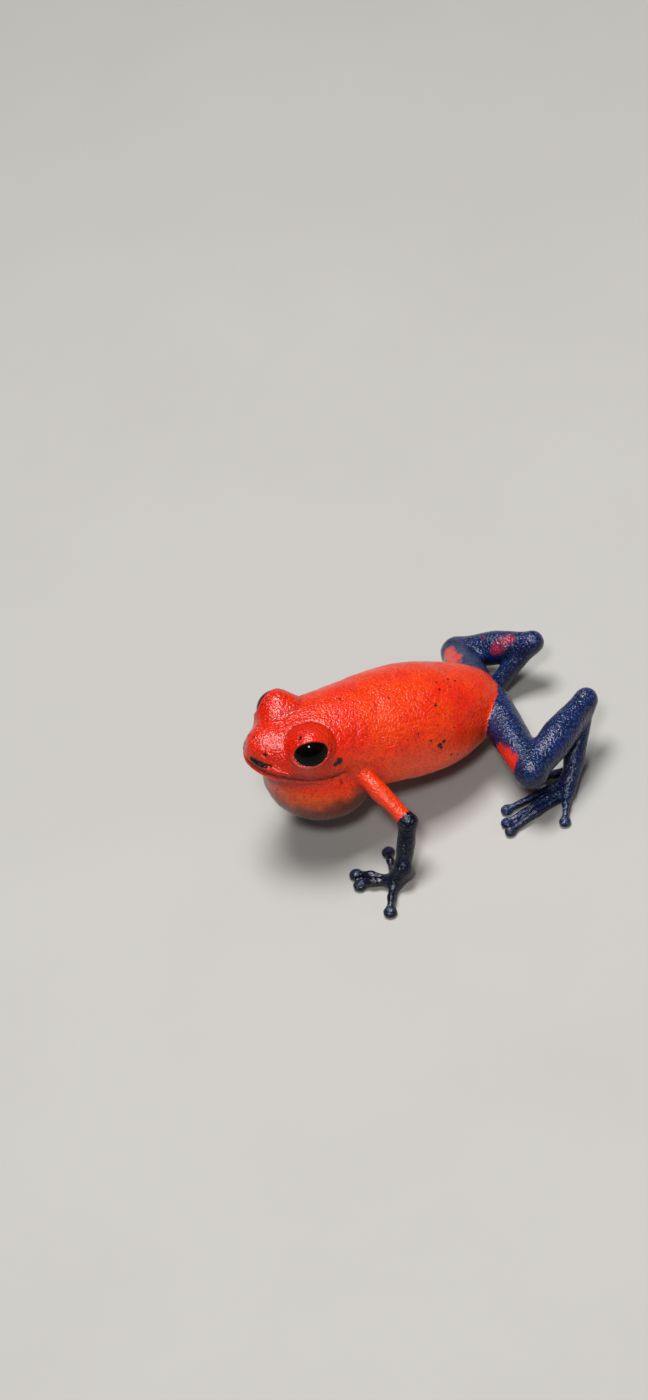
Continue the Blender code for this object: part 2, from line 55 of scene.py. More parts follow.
# Each egg of the body: its centre, its radii and the width over which it blends in.
BELLY = ((0.0, 13.4, -1.0), (4.35, 6.9, 3.9), 0.1)
RUMP = ((0.0, 18.1, -0.45), (2.4, 2.8, 2.2), 1.5)
CHEST = ((0.0, 9.2, -1.25), (3.45, 4.2, 3.1), 2.0)
NAPE = ((0.0, 6.9, -0.4), (3.0, 3.2, 2.5), 1.5)
CRANIUM = ((0.0, 4.9, -0.55), (2.95, 3.5, 1.75), 1.4)
SNOUT = ((0.0, 2.5, -0.5), (1.6, 1.95, 1.15), 1.0)
THROAT = ((0.0, 5.75, -2.85), (2.75, 3.3, 1.6), 1.0)
JAW = ((0.0, 4.5, -1.5), (3.2, 3.85, 1.1), 0.75)
CHEEK = ((1.95, 5.2, -0.8), (1.5, 2.7, 1.3), 0.8)
BROW = ((2.28, 4.02, 0.5), (1.47, 1.47, 1.47), 1.0)
SAC = ((0.0, 6.75, -3.85), (3.9, 4.0, 3.2), 0.7)

EYE_AXIS = (0.855, -0.453, 0.25)
EYE_SET_OUT = 0.1
LID_OPENING = (1.14, 0.84)
LID_RIDGE = (1.18, 0.09, 0.13)
LID_TILT = -0.39

# Reliefs of the face: how far from their place they lie, how high they rise, how wide.
NOSTRIL = (1.2, 0.95, -0.15)
NOSTRIL_RIM = (0.3, 0.05, 0.12)
NOSTRIL_PIT = (0.0, -0.22, 0.15)
TYMPANUM = (3.2, 6.0, -0.75)
TYMPANUM_RIM = (0.5, 0.035, 0.12)
TYMPANUM_DIP = (0.0, -0.04, 0.4)
MOUTH_FRONT_HEIGHT = -1.42
MOUTH_SLOPE = -0.06
MOUTH_CORNER = 6.1
MOUTH_TURN_UP = 0.35
MOUTH_TURN_LENGTH = 0.7
MOUTH_FADE = 0.8
FACE_END = 1.2
MOUTH_GROOVE = (0.0, -0.17, 0.17)
UPPER_LIP = (0.34, 0.06, 0.22)
LOWER_LIP = (-0.3, 0.05, 0.18)

SHOULDER = (2.75, 7.7, -1.6)
HIP = (1.2, 19.9, -0.35)

# Widths over which the limbs blend into the body.
THIGH_CREASE = 0.4
ARM_PIT = 0.45

UPPER_ARM_RADII = (0.66, 0.57)
UPPER_ARM_SWELL = 0.06
FOREARM_RADII = (0.62, 0.53)
FOREARM_SWELL = 0.08
PALM_RADII = (0.6, 0.66)
FINGER_ROOT_OUT = 0.5
FINGER_ROOT_HEIGHT = 0.5
THIGH_RADII = (1.4, 1.12)
SHANK_RADII = (1.1, 0.82)
THIGH_SWELL = 0.06
CALF_SWELL = 0.28
TARSUS_RADII = (0.68, 0.68)
SOLE_RADII = (0.68, 0.6)
FINGER_RADIUS = 0.26
TOE_RADIUS = 0.27
FINGER_DISC = (0.5, 0.5, 0.3)
TOE_DISC = (0.43, 0.43, 0.28)
INSTEP = 0.62
TOE_ROOTS = (0.0, 0.45, 0.85, 1.0, 0.8)
TOE_ROOT_HEIGHTS = (0.5, 1.15)
INSTEP_DROP = {"left": 0.2, "right": 0.9}

# Where each limb's joints stand over the floor: elbow, wrist, palm; knee, heel, sole.
LEFT_ARM = ((7.2, 8.0, 4.35), (8.3, 6.45, 1.45), (8.1, 5.75, 0.6))
RIGHT_ARM = ((-6.85, 9.6, 3.5), (-6.9, 7.2, 1.4), (-6.65, 6.5, 0.6))
LEFT_LEG = ((8.4, 17.4, 4.25), (5.3, 24.0, 4.7), (8.55, 19.75, 0.5))
RIGHT_LEG = ((-6.95, 20.25, 1.95), (-2.48, 24.25, 4.12), (-3.3, 18.4, 0.5))

# Tips of the digits on the floor, inner digit first.
LEFT_FINGERS = ((5.25, 6.85), (5.65, 3.95), (6.7, 3.65), (10.15, 4.1))
RIGHT_FINGERS = ((-4.0, 6.9), (-4.5, 4.7), (-6.0, 4.0), (-8.4, 5.0))
LEFT_TOES = ((5.9, 18.9), (7.05, 15.6), (8.1, 14.95), (8.95, 14.75), (10.55, 18.3))
RIGHT_TOES = ((-1.5, 16.7), (-2.3, 14.8), (-3.8, 13.5), (-5.3, 13.4), (-6.5, 16.3))
TIP_HEIGHT = 0.26
KNUCKLE_HEIGHT = 0.62
KNUCKLE_SHARE = 0.52
KNUCKLE_SWELL = 1.15
TIP_TAPER = 0.82

# Widths over which the parts of a limb blend into each other.
BEND = 0.5
HEEL_BEND = 0.4
DIGIT_ROOT_BLEND = 0.45
KNUCKLE_BLEND = 0.25
DISC_BLEND = 0.22

# How a vertex is drawn onto the skin: the step that measures the slope, the longest move
# in one round and the least squared slope that is counted.
SLOPE_STEP = 0.05
LONGEST_MOVE = 0.6
LEAST_SLOPE = 0.2

# A distance that counts as far off, the distance from a form within which it is worked out
# exactly, and the gap between a limb's filling balls as a share of its radius.
FAR_OFF = 9.0
NEAR_MARGIN = 1.5
BALL_GAP = 0.4

# How a skin is grown: first voxels as a multiple of the last ones, rounds of settling after
# each step, and how much and how often its vertices are evened out.
FIRST_VOXELS = 1.3
SETTLE_ROUNDS = 2
RELAX_FACTOR = 0.5
RELAX_ROUNDS = 3


def spine_turn():
    """Rotation that takes the body's frame to the floor's frame."""
    c, s = math.cos(SPINE_PITCH), math.sin(SPINE_PITCH)
    return np.array(((1.0, 0.0, 0.0), (0.0, c, s), (0.0, -s, c)))


def on_floor(place):
    """A place on the body, in the floor's frame."""
    return spine_turn() @ np.array(place) + np.array((0.0, 0.0, SNOUT_HEIGHT))


def mirrored(place):
    return (-place[0], place[1], place[2])


def on_side(place, side):
    """A place of the left side, moved to the side: 1 for left, -1 for right."""
    return np.array(place) * (side, 1.0, 1.0)


class Form:
    """A smooth solid, known by its distance function and by balls that fill it."""

    def __init__(self, distance, balls, centre, reach):
        self.distance = distance
        self.balls = balls
        self.centre = np.array(centre)
        self.reach = reach

    def near(self, points):
        """Distance of each point, worked out only near the form."""
        far = np.linalg.norm(points - self.centre, axis=1) - self.reach
        close = far < NEAR_MARGIN
        far[close] = self.distance(points[close])
        return far


def egg(centre, radii, turn=None):
    """An ellipsoid with its axes turned by a rotation."""
    centre = np.array(centre)
    radii = np.array(radii)
    turn = np.eye(3) if turn is None else turn

    def distance(points):
        local = (points - centre) @ turn
        k0 = np.linalg.norm(local / radii, axis=1)
        k1 = np.linalg.norm(local / radii**2, axis=1)
        return k0 * (k0 - 1.0) / np.maximum(k1, 1e-6)

    return Form(distance, [(centre, radii, turn)], centre, radii.max())


def bone(start, end, radii, swell=0.0):
    """A tapered limb with round ends, swollen in the middle by its muscle."""
    start = np.array(start)
    end = np.array(end)
    axis = end - start
    length = np.linalg.norm(axis)

    def radius(t):
        return radii[0] + (radii[1] - radii[0]) * t + swell * np.sin(np.pi * t) ** 2

    def distance(points):
        t = np.clip((points - start) @ axis / length**2, 0.0, 1.0)
        return np.linalg.norm(points - start - t[:, None] * axis, axis=1) - radius(t)

    steps = np.linspace(0.0, 1.0, int(length / (BALL_GAP * min(radii))) + 2)
    balls = [(start + t * axis, np.full(3, radius(t)), np.eye(3)) for t in steps]
    return Form(distance, balls, (start + end) / 2.0, length / 2.0 + max(radii) + swell)


def blend(a, b, width):
    """The smooth union of two distances, rounded over the width."""
    overlap = np.maximum(width - np.abs(a - b), 0.0) / width
    return np.minimum(a, b) - overlap**2 * width / 4.0


def blended(forms, points):
    """The smooth union of forms, each blended over its width into those before."""
    whole = None
    for form, width in forms:
        here = form.distance(points)
        whole = here if whole is None else blend(whole, here, width)
    return whole


def trunk_forms():
    """The head and body, each with the width over which it blends into those before."""
    eggs = [BELLY, RUMP, CHEST, NAPE, CRANIUM, SNOUT, THROAT, JAW]
    for centre, radii, width in (CHEEK, BROW):
        eggs += [(centre, radii, width), (mirrored(centre), radii, width)]
    return [(egg(on_floor(centre), radii, spine_turn()), width) for centre, radii, width in eggs]


def sac_form():
    return egg(on_floor(SAC[0]), SAC[1], spine_turn())


def digit(root, tip, radius, disc, name):
    """A finger or toe: knuckle, last joint and the flat round disc at its tip."""
    root = np.array(root)
    tip = np.array((*tip, TIP_HEIGHT))
    knuckle = root + KNUCKLE_SHARE * (tip - root)
    knuckle[2] = KNUCKLE_HEIGHT
    along = (tip - root) * (1.0, 1.0, 0.0)
    along /= np.linalg.norm(along)
    turn = np.array((along, (-along[1], along[0], 0.0), (0.0, 0.0, 1.0))).T
    forms = {
        name + "_base": bone(root, knuckle, (radius * KNUCKLE_SWELL, radius)),
        name + "_end": bone(knuckle, tip, (radius, radius * TIP_TAPER)),
        name + "_disc": egg(tip, disc, turn),
    }
    joins = [
        (name + "_base", name + "_end", KNUCKLE_BLEND),
        (name + "_end", name + "_disc", DISC_BLEND),
    ]
    return forms, joins


def arm(side, joints, tips):
    """Upper arm, forearm, palm and four fingers."""
    shoulder = on_floor(SHOULDER if side == "left" else mirrored(SHOULDER))
    elbow, wrist, palm = (np.array(p) for p in joints)
    forms = {
        "upper_arm_" + side: bone(shoulder, elbow, UPPER_ARM_RADII, UPPER_ARM_SWELL),
        "forearm_" + side: bone(elbow, wrist, FOREARM_RADII, FOREARM_SWELL),
        "palm_" + side: bone(wrist, palm, PALM_RADII),
    }
    joins = [
        ("trunk", "upper_arm_" + side, ARM_PIT),
        ("upper_arm_" + side, "forearm_" + side, BEND),
        ("forearm_" + side, "palm_" + side, BEND),
    ]
    for number, tip in enumerate(tips):
        name = f"finger_{side}_{number + 1}"
        toward = np.array((*tip, FINGER_ROOT_HEIGHT)) - palm
        root = palm + FINGER_ROOT_OUT * toward / np.linalg.norm(toward) * (1.0, 1.0, 0.0)
        root[2] = FINGER_ROOT_HEIGHT
        more, links = digit(root, tip, FINGER_RADIUS, FINGER_DISC, name)
        forms.update(more)
        joins += links + [("palm_" + side, name + "_base", DIGIT_ROOT_BLEND)]
    return forms, joins


def leg(side, joints, tips):
    """Thigh, shank, tarsus with the sole, and five toes."""
    hip = on_floor(HIP if side == "left" else mirrored(HIP))
    knee, heel, sole = (np.array(p) for p in joints)
    middle = heel + INSTEP * (sole - heel) - (0.0, 0.0, INSTEP_DROP[side])
    forms = {
        "thigh_" + side: bone(hip, knee, THIGH_RADII, THIGH_SWELL),
        "shank_" + side: bone(knee, heel, SHANK_RADII, CALF_SWELL),
        "tarsus_" + side: bone(heel, middle, TARSUS_RADII),
        "sole_" + side: bone(middle, sole, SOLE_RADII),
    }
    joins = [
        ("trunk", "thigh_" + side, THIGH_CREASE),
        ("thigh_" + side, "shank_" + side, BEND),
        ("shank_" + side, "tarsus_" + side, HEEL_BEND),
        ("tarsus_" + side, "sole_" + side, HEEL_BEND),
    ]
    for number, (share, tip) in enumerate(zip(TOE_ROOTS, tips)):
        name = f"toe_{side}_{number + 1}"
        root = middle + share * (sole - middle)
        root[2] = np.clip(root[2], *TOE_ROOT_HEIGHTS)
        more, links = digit(root, tip, TOE_RADIUS, TOE_DISC, name)
        forms.update(more)
        joins += links + [("sole_" + side, name + "_base", DIGIT_ROOT_BLEND)]
    return forms, joins


def frog_forms():
    """Every form but the trunk's, and the pairs that blend."""
    forms = {}
    joins = []
    limbs = (
        arm("left", LEFT_ARM, LEFT_FINGERS),
        arm("right", RIGHT_ARM, RIGHT_FINGERS),
        leg("left", LEFT_LEG, LEFT_TOES),
        leg("right", RIGHT_LEG, RIGHT_TOES),
    )
    for more, links in limbs:
        forms.update(more)
        joins += links
    return forms, joins


def ridge(distance, relief):
    """A smooth rise at the relief's own distance, which fades over its width."""
    at, height, width = relief
    return height * np.exp(-(((distance - at) / width) ** 2))


def ramp(value, low, high):
    """Smooth step from 0 at low to 1 at high."""
    t = np.clip((value - low) / (high - low), 0.0, 1.0)
    return t * t * (3.0 - 2.0 * t)


def to_body(points):
    """Floor places seen from the body's frame."""
    return (points - (0.0, 0.0, SNOUT_HEIGHT)) @ spine_turn()


def mouth_height(back):
    """Height of the mouth line in the body's frame, turned up at its corner."""
    corner = ramp(back, MOUTH_CORNER - MOUTH_TURN_LENGTH, MOUTH_CORNER + MOUTH_TURN_LENGTH)
    return MOUTH_FRONT_HEIGHT + MOUTH_SLOPE * back + MOUTH_TURN_UP * corner


def along_mouth(back):
    """1 along the mouth, fading to 0 behind its corner."""
    return 1.0 - ramp(back, MOUTH_CORNER, MOUTH_CORNER + MOUTH_FADE)


def eye_frame(side):
    """Centre of the eye in the body's frame, and its outward, lengthwise and upward axes."""
    out = on_side(EYE_AXIS, side) / np.linalg.norm(EYE_AXIS)
    length = np.cross(out, (0.0, LID_TILT, 1.0))
    length /= np.linalg.norm(length)
    up = np.cross(length, out)
    centre = on_side(BROW[0], side) + EYE_SET_OUT * out
    return centre, out, length, up


def lid_ring(body_points, side):
    """How far out in the lid opening's ellipse each point lies: 1 on the lid's edge."""
    centre, out, length, up = eye_frame(side)
    local = body_points - centre
    ring = np.hypot(local @ length / LID_OPENING[0], local @ up / LID_OPENING[1])
    return np.where(local @ out > 0.0, ring, FAR_OFF)


def face_relief(points):
    """How far the skin stands out at the lips, lids, nostrils and ear drums."""
    place = to_body(points)
    relief = np.zeros(len(points))
    head = place[:, 1] < MOUTH_CORNER + FACE_END
    place = place[head]
    back, up = place[:, 1], place[:, 2]
    off_mouth = up - mouth_height(back)
    rise = sum(ridge(off_mouth, lip) for lip in (MOUTH_GROOVE, UPPER_LIP, LOWER_LIP))
    rise *= along_mouth(back)
    for side in (1.0, -1.0):
        rise += ridge(lid_ring(place, side), LID_RIDGE)
        from_nostril = np.linalg.norm(place - on_side(NOSTRIL, side), axis=1)
        rise += ridge(from_nostril, NOSTRIL_RIM) + ridge(from_nostril, NOSTRIL_PIT)
        from_drum = np.linalg.norm(place - on_side(TYMPANUM, side), axis=1)
        rise += ridge(from_drum, TYMPANUM_RIM) + ridge(from_drum, TYMPANUM_DIP)
    relief[head] = rise
    return relief


def frog_field():
    """Distance to the whole frog's skin, as a function of points over the floor."""
    trunk = trunk_forms() + [(sac_form(), SAC[2])]
    forms, joins = frog_forms()

    def field(points):
        body = blended(trunk, points)
        apart = {name: form.near(points) for name, form in forms.items()}
        apart["trunk"] = body
        whole = body
        for a, b, width in joins:
            whole = np.minimum(whole, blend(apart[a], apart[b], width))
        return whole - face_relief(points)

    return field


def filling_balls():
    forms = [form for form, _ in trunk_forms()] + list(frog_forms()[0].values())
    forms.append(sac_form())
    return [ball for form in forms for ball in form.balls]


def ball_mesh(name, balls):
    """One mesh that holds a round ball for each entry."""
    bm = bmesh.new()
    bmesh.ops.create_icosphere(bm, subdivisions=3, radius=1.0)
    round_points = np.array([vertex.co for vertex in bm.verts])
    round_faces = np.array([[vertex.index for vertex in face.verts] for face in bm.faces])
    bm.free()
    points = [centre + (round_points * radii) @ turn.T for centre, radii, turn in balls]
    faces = [round_faces + number * len(round_points) for number in range(len(balls))]
    mesh = bpy.data.meshes.new(name)
    mesh.from_pydata(np.concatenate(points).tolist(), [], np.concatenate(faces).tolist())
    return mesh


def new_object(name, mesh):
    obj = bpy.data.objects.new(name, mesh)
    bpy.context.scene.collection.objects.link(obj)
    return obj


def apply_modifiers(obj):
    """Replaces an object's mesh by the one its modifiers make."""
    bpy.context.view_layer.update()
    graph = bpy.context.evaluated_depsgraph_get()
    mesh = bpy.data.meshes.new_from_object(obj.evaluated_get(graph))
    old = obj.data
    obj.modifiers.clear()
    obj.data = mesh
    bpy.data.meshes.remove(old)


def remesh(obj, voxel):
    """Joins all that overlaps into one even surface."""
    modifier = obj.modifiers.new("join", "REMESH")
    modifier.mode = "VOXEL"
    modifier.voxel_size = voxel
    apply_modifiers(obj)


def vertex_places(mesh, what="co"):
    """The place of each vertex, or its normal."""
    values = np.empty(len(mesh.vertices) * 3)
    mesh.vertices.foreach_get(what, values)
    return values.reshape(-1, 3)


def settle(mesh, field, rounds):
    """Draws each vertex along the field's slope until it lies on the skin."""
    points = vertex_places(mesh)
    corners = np.array(((1, -1, -1), (-1, -1, 1), (-1, 1, -1), (1, 1, 1))) * SLOPE_STEP
    for _ in range(rounds):
        samples = [field(points + corner) for corner in corners]
        value = sum(samples) / 4.0
        slope = sum(s[:, None] * c for s, c in zip(samples, corners)) / (4.0 * SLOPE_STEP**2)
        steep = np.maximum((slope**2).sum(axis=1), LEAST_SLOPE)
        points -= (np.clip(value, -LONGEST_MOVE, LONGEST_MOVE) / steep)[:, None] * slope
    mesh.vertices.foreach_set("co", points.ravel())
    mesh.update()


def relax(obj):
    """Evens out the spacing of the vertices."""
    modifier = obj.modifiers.new("relax", "SMOOTH")
    modifier.factor = RELAX_FACTOR
    modifier.iterations = RELAX_ROUNDS
    apply_modifiers(obj)


def settled(name, balls, field, voxel):
    """A closed skin that lies on the field, grown from balls that fill it."""
    skin = new_object(name, ball_mesh(name, balls))
    remesh(skin, voxel * FIRST_VOXELS)
    settle(skin.data, field, SETTLE_ROUNDS)
    remesh(skin, voxel)
    settle(skin.data, field, SETTLE_ROUNDS)
    relax(skin)
    settle(skin.data, field, SETTLE_ROUNDS)
    return skin


# Sizes of the fine surface, in millimetres.
SKIN_VOXEL = 0.13
EYEBALL_RADIUS = 1.42
LID_FLOOR = 1.33
LID_EDGE = 0.1
EYE_REACH = 3.0
PUPIL = (0.7, 0.52)
SCUTE_REACH = 1.0
SCUTE_LENGTH = 0.4
SCUTE_LOBE = 0.19
SCUTE_RISE = (0.0, 0.05, 0.2)
SCUTE_GROOVE = (0.0, -0.03, 0.06)
SCUTE_HEIGHTS = (0.0, 0.2)

# Soft swellings: noise to a millimetre and height in millimetres.
SWELLINGS = ((0.8, 0.04), (2.2, 0.015))

# Rounds of settling on the fine field, and where the lids are smoothed: the ring, how far to
# both sides of it and the rounds.
FINE_ROUNDS = 3
LID_SMOOTHING = (1.03, 0.1, 5)

# The eyeball: its mesh's parts round it and from pole to pole, and the pupil's soft edge.
EYEBALL_SEGMENTS = (64, 32)
PUPIL_EDGE = (0.9, 1.05)

# Folds and hollows of the skin: start, end (left, back, up on the body), width and height.
FOLDS = (
    ((3.1, 4.9, 0.1), (3.2, 7.4, -0.5), 0.3, 0.07),
    ((3.35, 6.9, -1.3), (2.8, 7.3, -3.0), 0.16, -0.2),
    ((3.5, 6.2, -1.7), (3.2, 6.7, -3.2), 0.14, -0.14),
    ((3.6, 8.8, -1.2), (3.1, 9.3, -2.8), 0.2, -0.16),
    ((0.7, 1.0, 0.25), (2.0, 3.1, 0.45), 0.35, 0.06),
    ((3.2, 7.2, 0.5), (3.4, 8.0, -1.2), 0.22, -0.07),
    ((2.3, 7.5, 1.6), (3.1, 7.1, 0.5), 0.25, -0.05),
    ((3.3, 8.9, 0.6), (3.7, 9.7, -1.0), 0.25, -0.06),
    ((3.5, 10.4, 0.6), (3.95, 11.0, -1.0), 0.22, -0.04),
)
FOLD_ENDS = (0.06, 0.94)
BROW_CREASE = (1.85, -0.07, 0.16)
BROW_CREASE_HEIGHTS = (-0.5, 0.7)
NOSTRIL_DEPTH = (0.0, -0.14, 0.13)


def frame_shift():
    """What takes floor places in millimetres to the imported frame's places."""
    low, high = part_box("eye_left")
    return np.array((low + high) / 2.0) / MM - on_floor(eye_frame(1.0)[0])


SHIFT = frame_shift()


def to_frame(points):
    return (np.asarray(points) + SHIFT) * MM


def along_line(place, start, end):
    """Share of the way from start to end, and the distance from the line."""
    axis = end - start
    share = np.clip((place - start) @ axis / (axis @ axis), 0.0, 1.0)
    return share, np.linalg.norm(place - start - share[:, None] * axis, axis=1)


def fold_relief(points):
    """Soft folds at the neck, the arm pits, the snout's edges and round the brows."""
    place = to_body(points)
    rise = np.zeros(len(points))
    for side in (1.0, -1.0):
        off_brow = np.linalg.norm(place - on_side(BROW[0], side), axis=1)
        rise += ridge(off_brow, BROW_CREASE) * ramp(place[:, 2], *BROW_CREASE_HEIGHTS)
        off_nostril = np.linalg.norm(place - on_side(NOSTRIL_HOLE, side), axis=1)
        rise += ridge(off_nostril, NOSTRIL_DEPTH)
    for start, end, width, height in FOLDS:
        for side in (1.0, -1.0):
            share, off = along_line(place, on_side(start, side), on_side(end, side))
            rise += ridge(off, (0.0, height, width)) * np.sin(np.pi * np.clip(share, *FOLD_ENDS))
    return rise


def scute_relief(points):
    """Pairs of small pads on top of each finger and toe disc."""
    rise = np.zeros(len(points))
    for sole, tips in digit_tips():
        for tip in tips:
            place = np.array((*tip, TIP_HEIGHT))
            near = np.linalg.norm(points - place, axis=1) < SCUTE_REACH
            if not near.any():
                continue
            along = unit(place[:2] - sole[:2])
            local = points[near] - place
            ahead = local[:, 0] * along[0] + local[:, 1] * along[1]
            aside = local[:, 1] * along[0] - local[:, 0] * along[1]
            pads = ridge(aside, SCUTE_GROOVE) * (np.abs(ahead) < SCUTE_LENGTH)
            for lobe in (-SCUTE_LOBE, SCUTE_LOBE):
                pads += ridge(np.hypot(ahead, aside - lobe), SCUTE_RISE)
            rise[near] += pads * ramp(local[:, 2], *SCUTE_HEIGHTS)
    return rise


def digit_tips():
    """For each limb, its palm or sole and the tips of its digits."""
    return (
        (np.array(LEFT_ARM[2]), LEFT_FINGERS),
        (np.array(RIGHT_ARM[2]), RIGHT_FINGERS),
        (np.array(LEFT_LEG[2]), LEFT_TOES),
        (np.array(RIGHT_LEG[2]), RIGHT_TOES),
    )


def unit(vector):
    return np.array(vector) / np.linalg.norm(vector)


def fine_field():
    """The skin's field with open lids, folds and scutes."""
    coarse = frog_field()

    def field(points):
        skin = coarse(points) - fold_relief(points) - scute_relief(points)
        place = to_body(points)
        for side in (1.0, -1.0):
            centre = eye_frame(side)[0]
            off_eye = np.linalg.norm(place - centre, axis=1)
            opening = (lid_ring(place, side) - 1.0) * LID_OPENING[1]
            hollow = np.maximum(opening, LID_FLOOR - off_eye)
            skin = np.where(off_eye < EYE_REACH, -blend(-skin, hollow, LID_EDGE), skin)
        return skin

    return field


def noise_at(points, scale):
    return np.array([noise.noise(place * scale) for place in map(Vector, points)])


def swell_by_noise(mesh):
    """Uneven swellings of living skin, a few hundredths of a millimetre high."""
    points = vertex_places(mesh)
    heights = sum(height * noise_at(points, scale) for scale, height in SWELLINGS)
    points += vertex_places(mesh, "normal") * heights[:, None]
    points[:, 2] = np.maximum(points[:, 2], 0.0)
    mesh.vertices.foreach_set("co", points.ravel())
    mesh.update()


def subdivide(obj):
    modifier = obj.modifiers.new("finer", "SUBSURF")
    modifier.levels = 1
    modifier.render_levels = 1
    apply_modifiers(obj)


def store_mask(mesh, name, values):
    """Keeps a value from 0 to 1 for each vertex, for the skin's materials."""
    attribute = mesh.attributes.new(name, "FLOAT", "POINT")
    attribute.data.foreach_set("value", np.clip(values, 0.0, 1.0).astype(np.float32))


def colour(red, green, blue):
    """A screen colour as the shader's linear one."""
    shares = [value / 255 for value in (red, green, blue)]
    linear = [((c + 0.055) / 1.055) ** 2.4 if c > 0.04 else c / 12.92 for c in shares]
    return (*linear, 1.0)


# How the skin is coloured: screen colours from 0 to 255.
BACK_RED = colour(190, 26, 0)
BACK_ORANGE = colour(196, 46, 0)
DEEP_RED = colour(158, 14, 0)
FLANK_ORANGE = colour(248, 74, 0)
SNOUT_CRIMSON = colour(174, 18, 2)
# Painted shade: the deep crimson laid in the band under the eyes and in the folds and creases.
SHADE_CRIMSON = colour(96, 6, 0)
SAC_RED = colour(222, 42, 0)
SAC_ORANGE = colour(214, 78, 0)
# Painted shade: dark brown on the underside of the vocal sac.
SAC_SHADE_BROWN = colour(48, 12, 1)
GRAIN_SHADE = colour(96, 8, 2)
LIMB_NAVY = colour(3, 9, 34)
# Painted sheen: the pale grey-blue laid on the upward-facing grains of the limbs.
LIMB_SHEEN_SLATE = colour(34, 56, 104)
LIMB_BLUE = colour(5, 22, 70)
LIMB_PURPLE = colour(26, 9, 48)
HAND_NAVY = colour(1, 3, 12)
DISC_SLATE = colour(30, 38, 66)
PATCH_RED = colour(200, 40, 2)
PATCH_PINK = colour(124, 22, 44)
# Dark of the flecks, and painted shade in the nostrils' openings.
FLECK_AND_NOSTRIL_SHADE_DARK = colour(16, 4, 3)
FRECKLE_RED = colour(76, 6, 3)
# Near black: painted shade along the mouth line. On the lids' inner edges it is partly their dark skin and
# partly painted shade.
LID_AND_MOUTH_SHADE_DARK = colour(26, 5, 4)
RIM_PINK = colour(180, 80, 54)
EYE_BLACK = colour(2, 2, 2)
IRIS_BROWN = colour(16, 8, 6)
FLOOR_PALE = colour(148, 146, 142)
FLOOR_SHADE = colour(142, 140, 136)

# Dark markings of the head and body: centre (left, back, up on the body) and radius.
LIP_SPOTS = (
    ((0.5, 0.62, -0.93), 0.22),
    ((0.72, 0.7, -0.95), 0.25),
    ((0.95, 0.82, -0.98), 0.27),
    ((1.2, 1.0, -0.98), 0.27),
    ((1.45, 1.2, -0.94), 0.22),
    ((1.65, 1.4, -0.88), 0.15),
)
# The nostril: where its dip lies, and the radius of the painted shade in its opening.
NOSTRIL_HOLE = (1.18, 1.15, -0.2)
NOSTRIL_RADIUS = 0.17
EAR_SPOTS = (((3.5, 5.78, -0.19), 0.3), ((3.57, 5.5, -0.36), 0.22))
PIT_SPOTS = (
    ((0.34, 1.06, 0.31), 0.13),
    ((1.18, 1.85, 0.45), 0.15),
    ((2.37, 2.99, 1.56), 0.15),
    ((2.39, 2.71, 1.25), 0.1),
)
BODY_FLECKS = (
    ((4.25, 13.6, -0.2), 0.2),
    ((4.25, 13.75, -0.45), 0.13),
    ((4.2, 13.95, 0.0), 0.16),
    ((4.1, 12.85, 0.25), 0.11),
    ((4.25, 14.75, -1.3), 0.12),
    ((4.1, 15.45, -1.6), 0.12),
    ((3.8, 14.9, 0.7), 0.07),
    ((3.65, 13.55, 1.15), 0.07),
    ((2.6, 13.8, 2.1), 0.13),
    ((3.75, 11.95, 0.85), 0.09),
    ((3.85, 11.05, 0.6), 0.08),
    ((0.8, 15.85, 2.6), 0.11),
    ((0.95, 16.35, 2.45), 0.09),
    ((1.6, 14.65, 2.55), 0.1),
    ((1.3, 10.6, 2.55), 0.07),
    ((0.8, 8.1, 2.4), 0.07),
    ((0.05, 7.4, 2.4), 0.09),
)

# Patches on the legs: centre over the floor and radius.
RED_PATCHES = (((5.7, 16.4, 4.5), 0.95), ((6.5, 16.4, 4.6), 1.2), ((7.2, 16.5, 4.7), 1.05))
PINK_PATCHES = (((-3.5, 22.8, 4.6), 0.85), ((-3.7, 22.0, 4.0), 0.8), ((-5.1, 21.8, 4.2), 0.4))
ORANGE_STRIP = (
    ((-3.6, 18.2, 4.9), 0.8),
    ((-4.4, 18.5, 4.6), 1.1),
    ((-5.4, 18.7, 4.0), 1.1),
    ((-6.3, 19.0, 3.4), 0.9),
)

# Masks of the patches: name, spots, unevenness and softness of their edges.
PATCHES = (
    ("red_patch", RED_PATCHES, 1.4, 0.8),
    ("pink_patch", PINK_PATCHES, 2.0, 1.0),
    ("strip", ORANGE_STRIP, 1.6, 0.7),
)

BLUE_KINDS = ("forearm", "palm", "finger", "thigh", "shank", "tarsus", "sole", "toe")
ARM_KINDS = ("forearm", "palm", "finger")

# Where the blue cuff starts along the upper arm, how far it reaches and how sharp it is.
CUFF_SHARE = 0.91
CUFF_REACH = 1.2
CUFF_EDGE = 8.0

# Unevenness of the colours' edges, in millimetres, and the noise that makes it.
WOBBLE = 0.12
WOBBLE_SCALES = ((1.7, 1.0), (4.5, 0.5))

# Where each mask goes from 0 to 1, in millimetres but for the lids' rings and the facing.
BLUE_EDGE = (-0.04, 0.1)
TRUNK_EDGE = (0.1, 0.9)
SAC_EDGE = (-0.2, 0.3)
SAC_ORANGE_DROP = (2.4, 4.0)
SAC_SHADE_DROP = (4.6, 6.4)
FLANK_HEIGHTS = (-3.2, 1.2)
SNOUT_BACK = (3.6, 7.6)
FOLD_SHADE_DEPTHS = (0.015, 0.12)
SHEEN_FACING = (0.0, 0.85)
CHEEK_SHADE_BACK = (1.2, 2.6)
LID_RINGS = (1.0, 1.09)
RIM_HEIGHTS = (-0.5, 0.2)
DISC_REACH = (0.25, 0.5)
DISC_TOP = 0.2

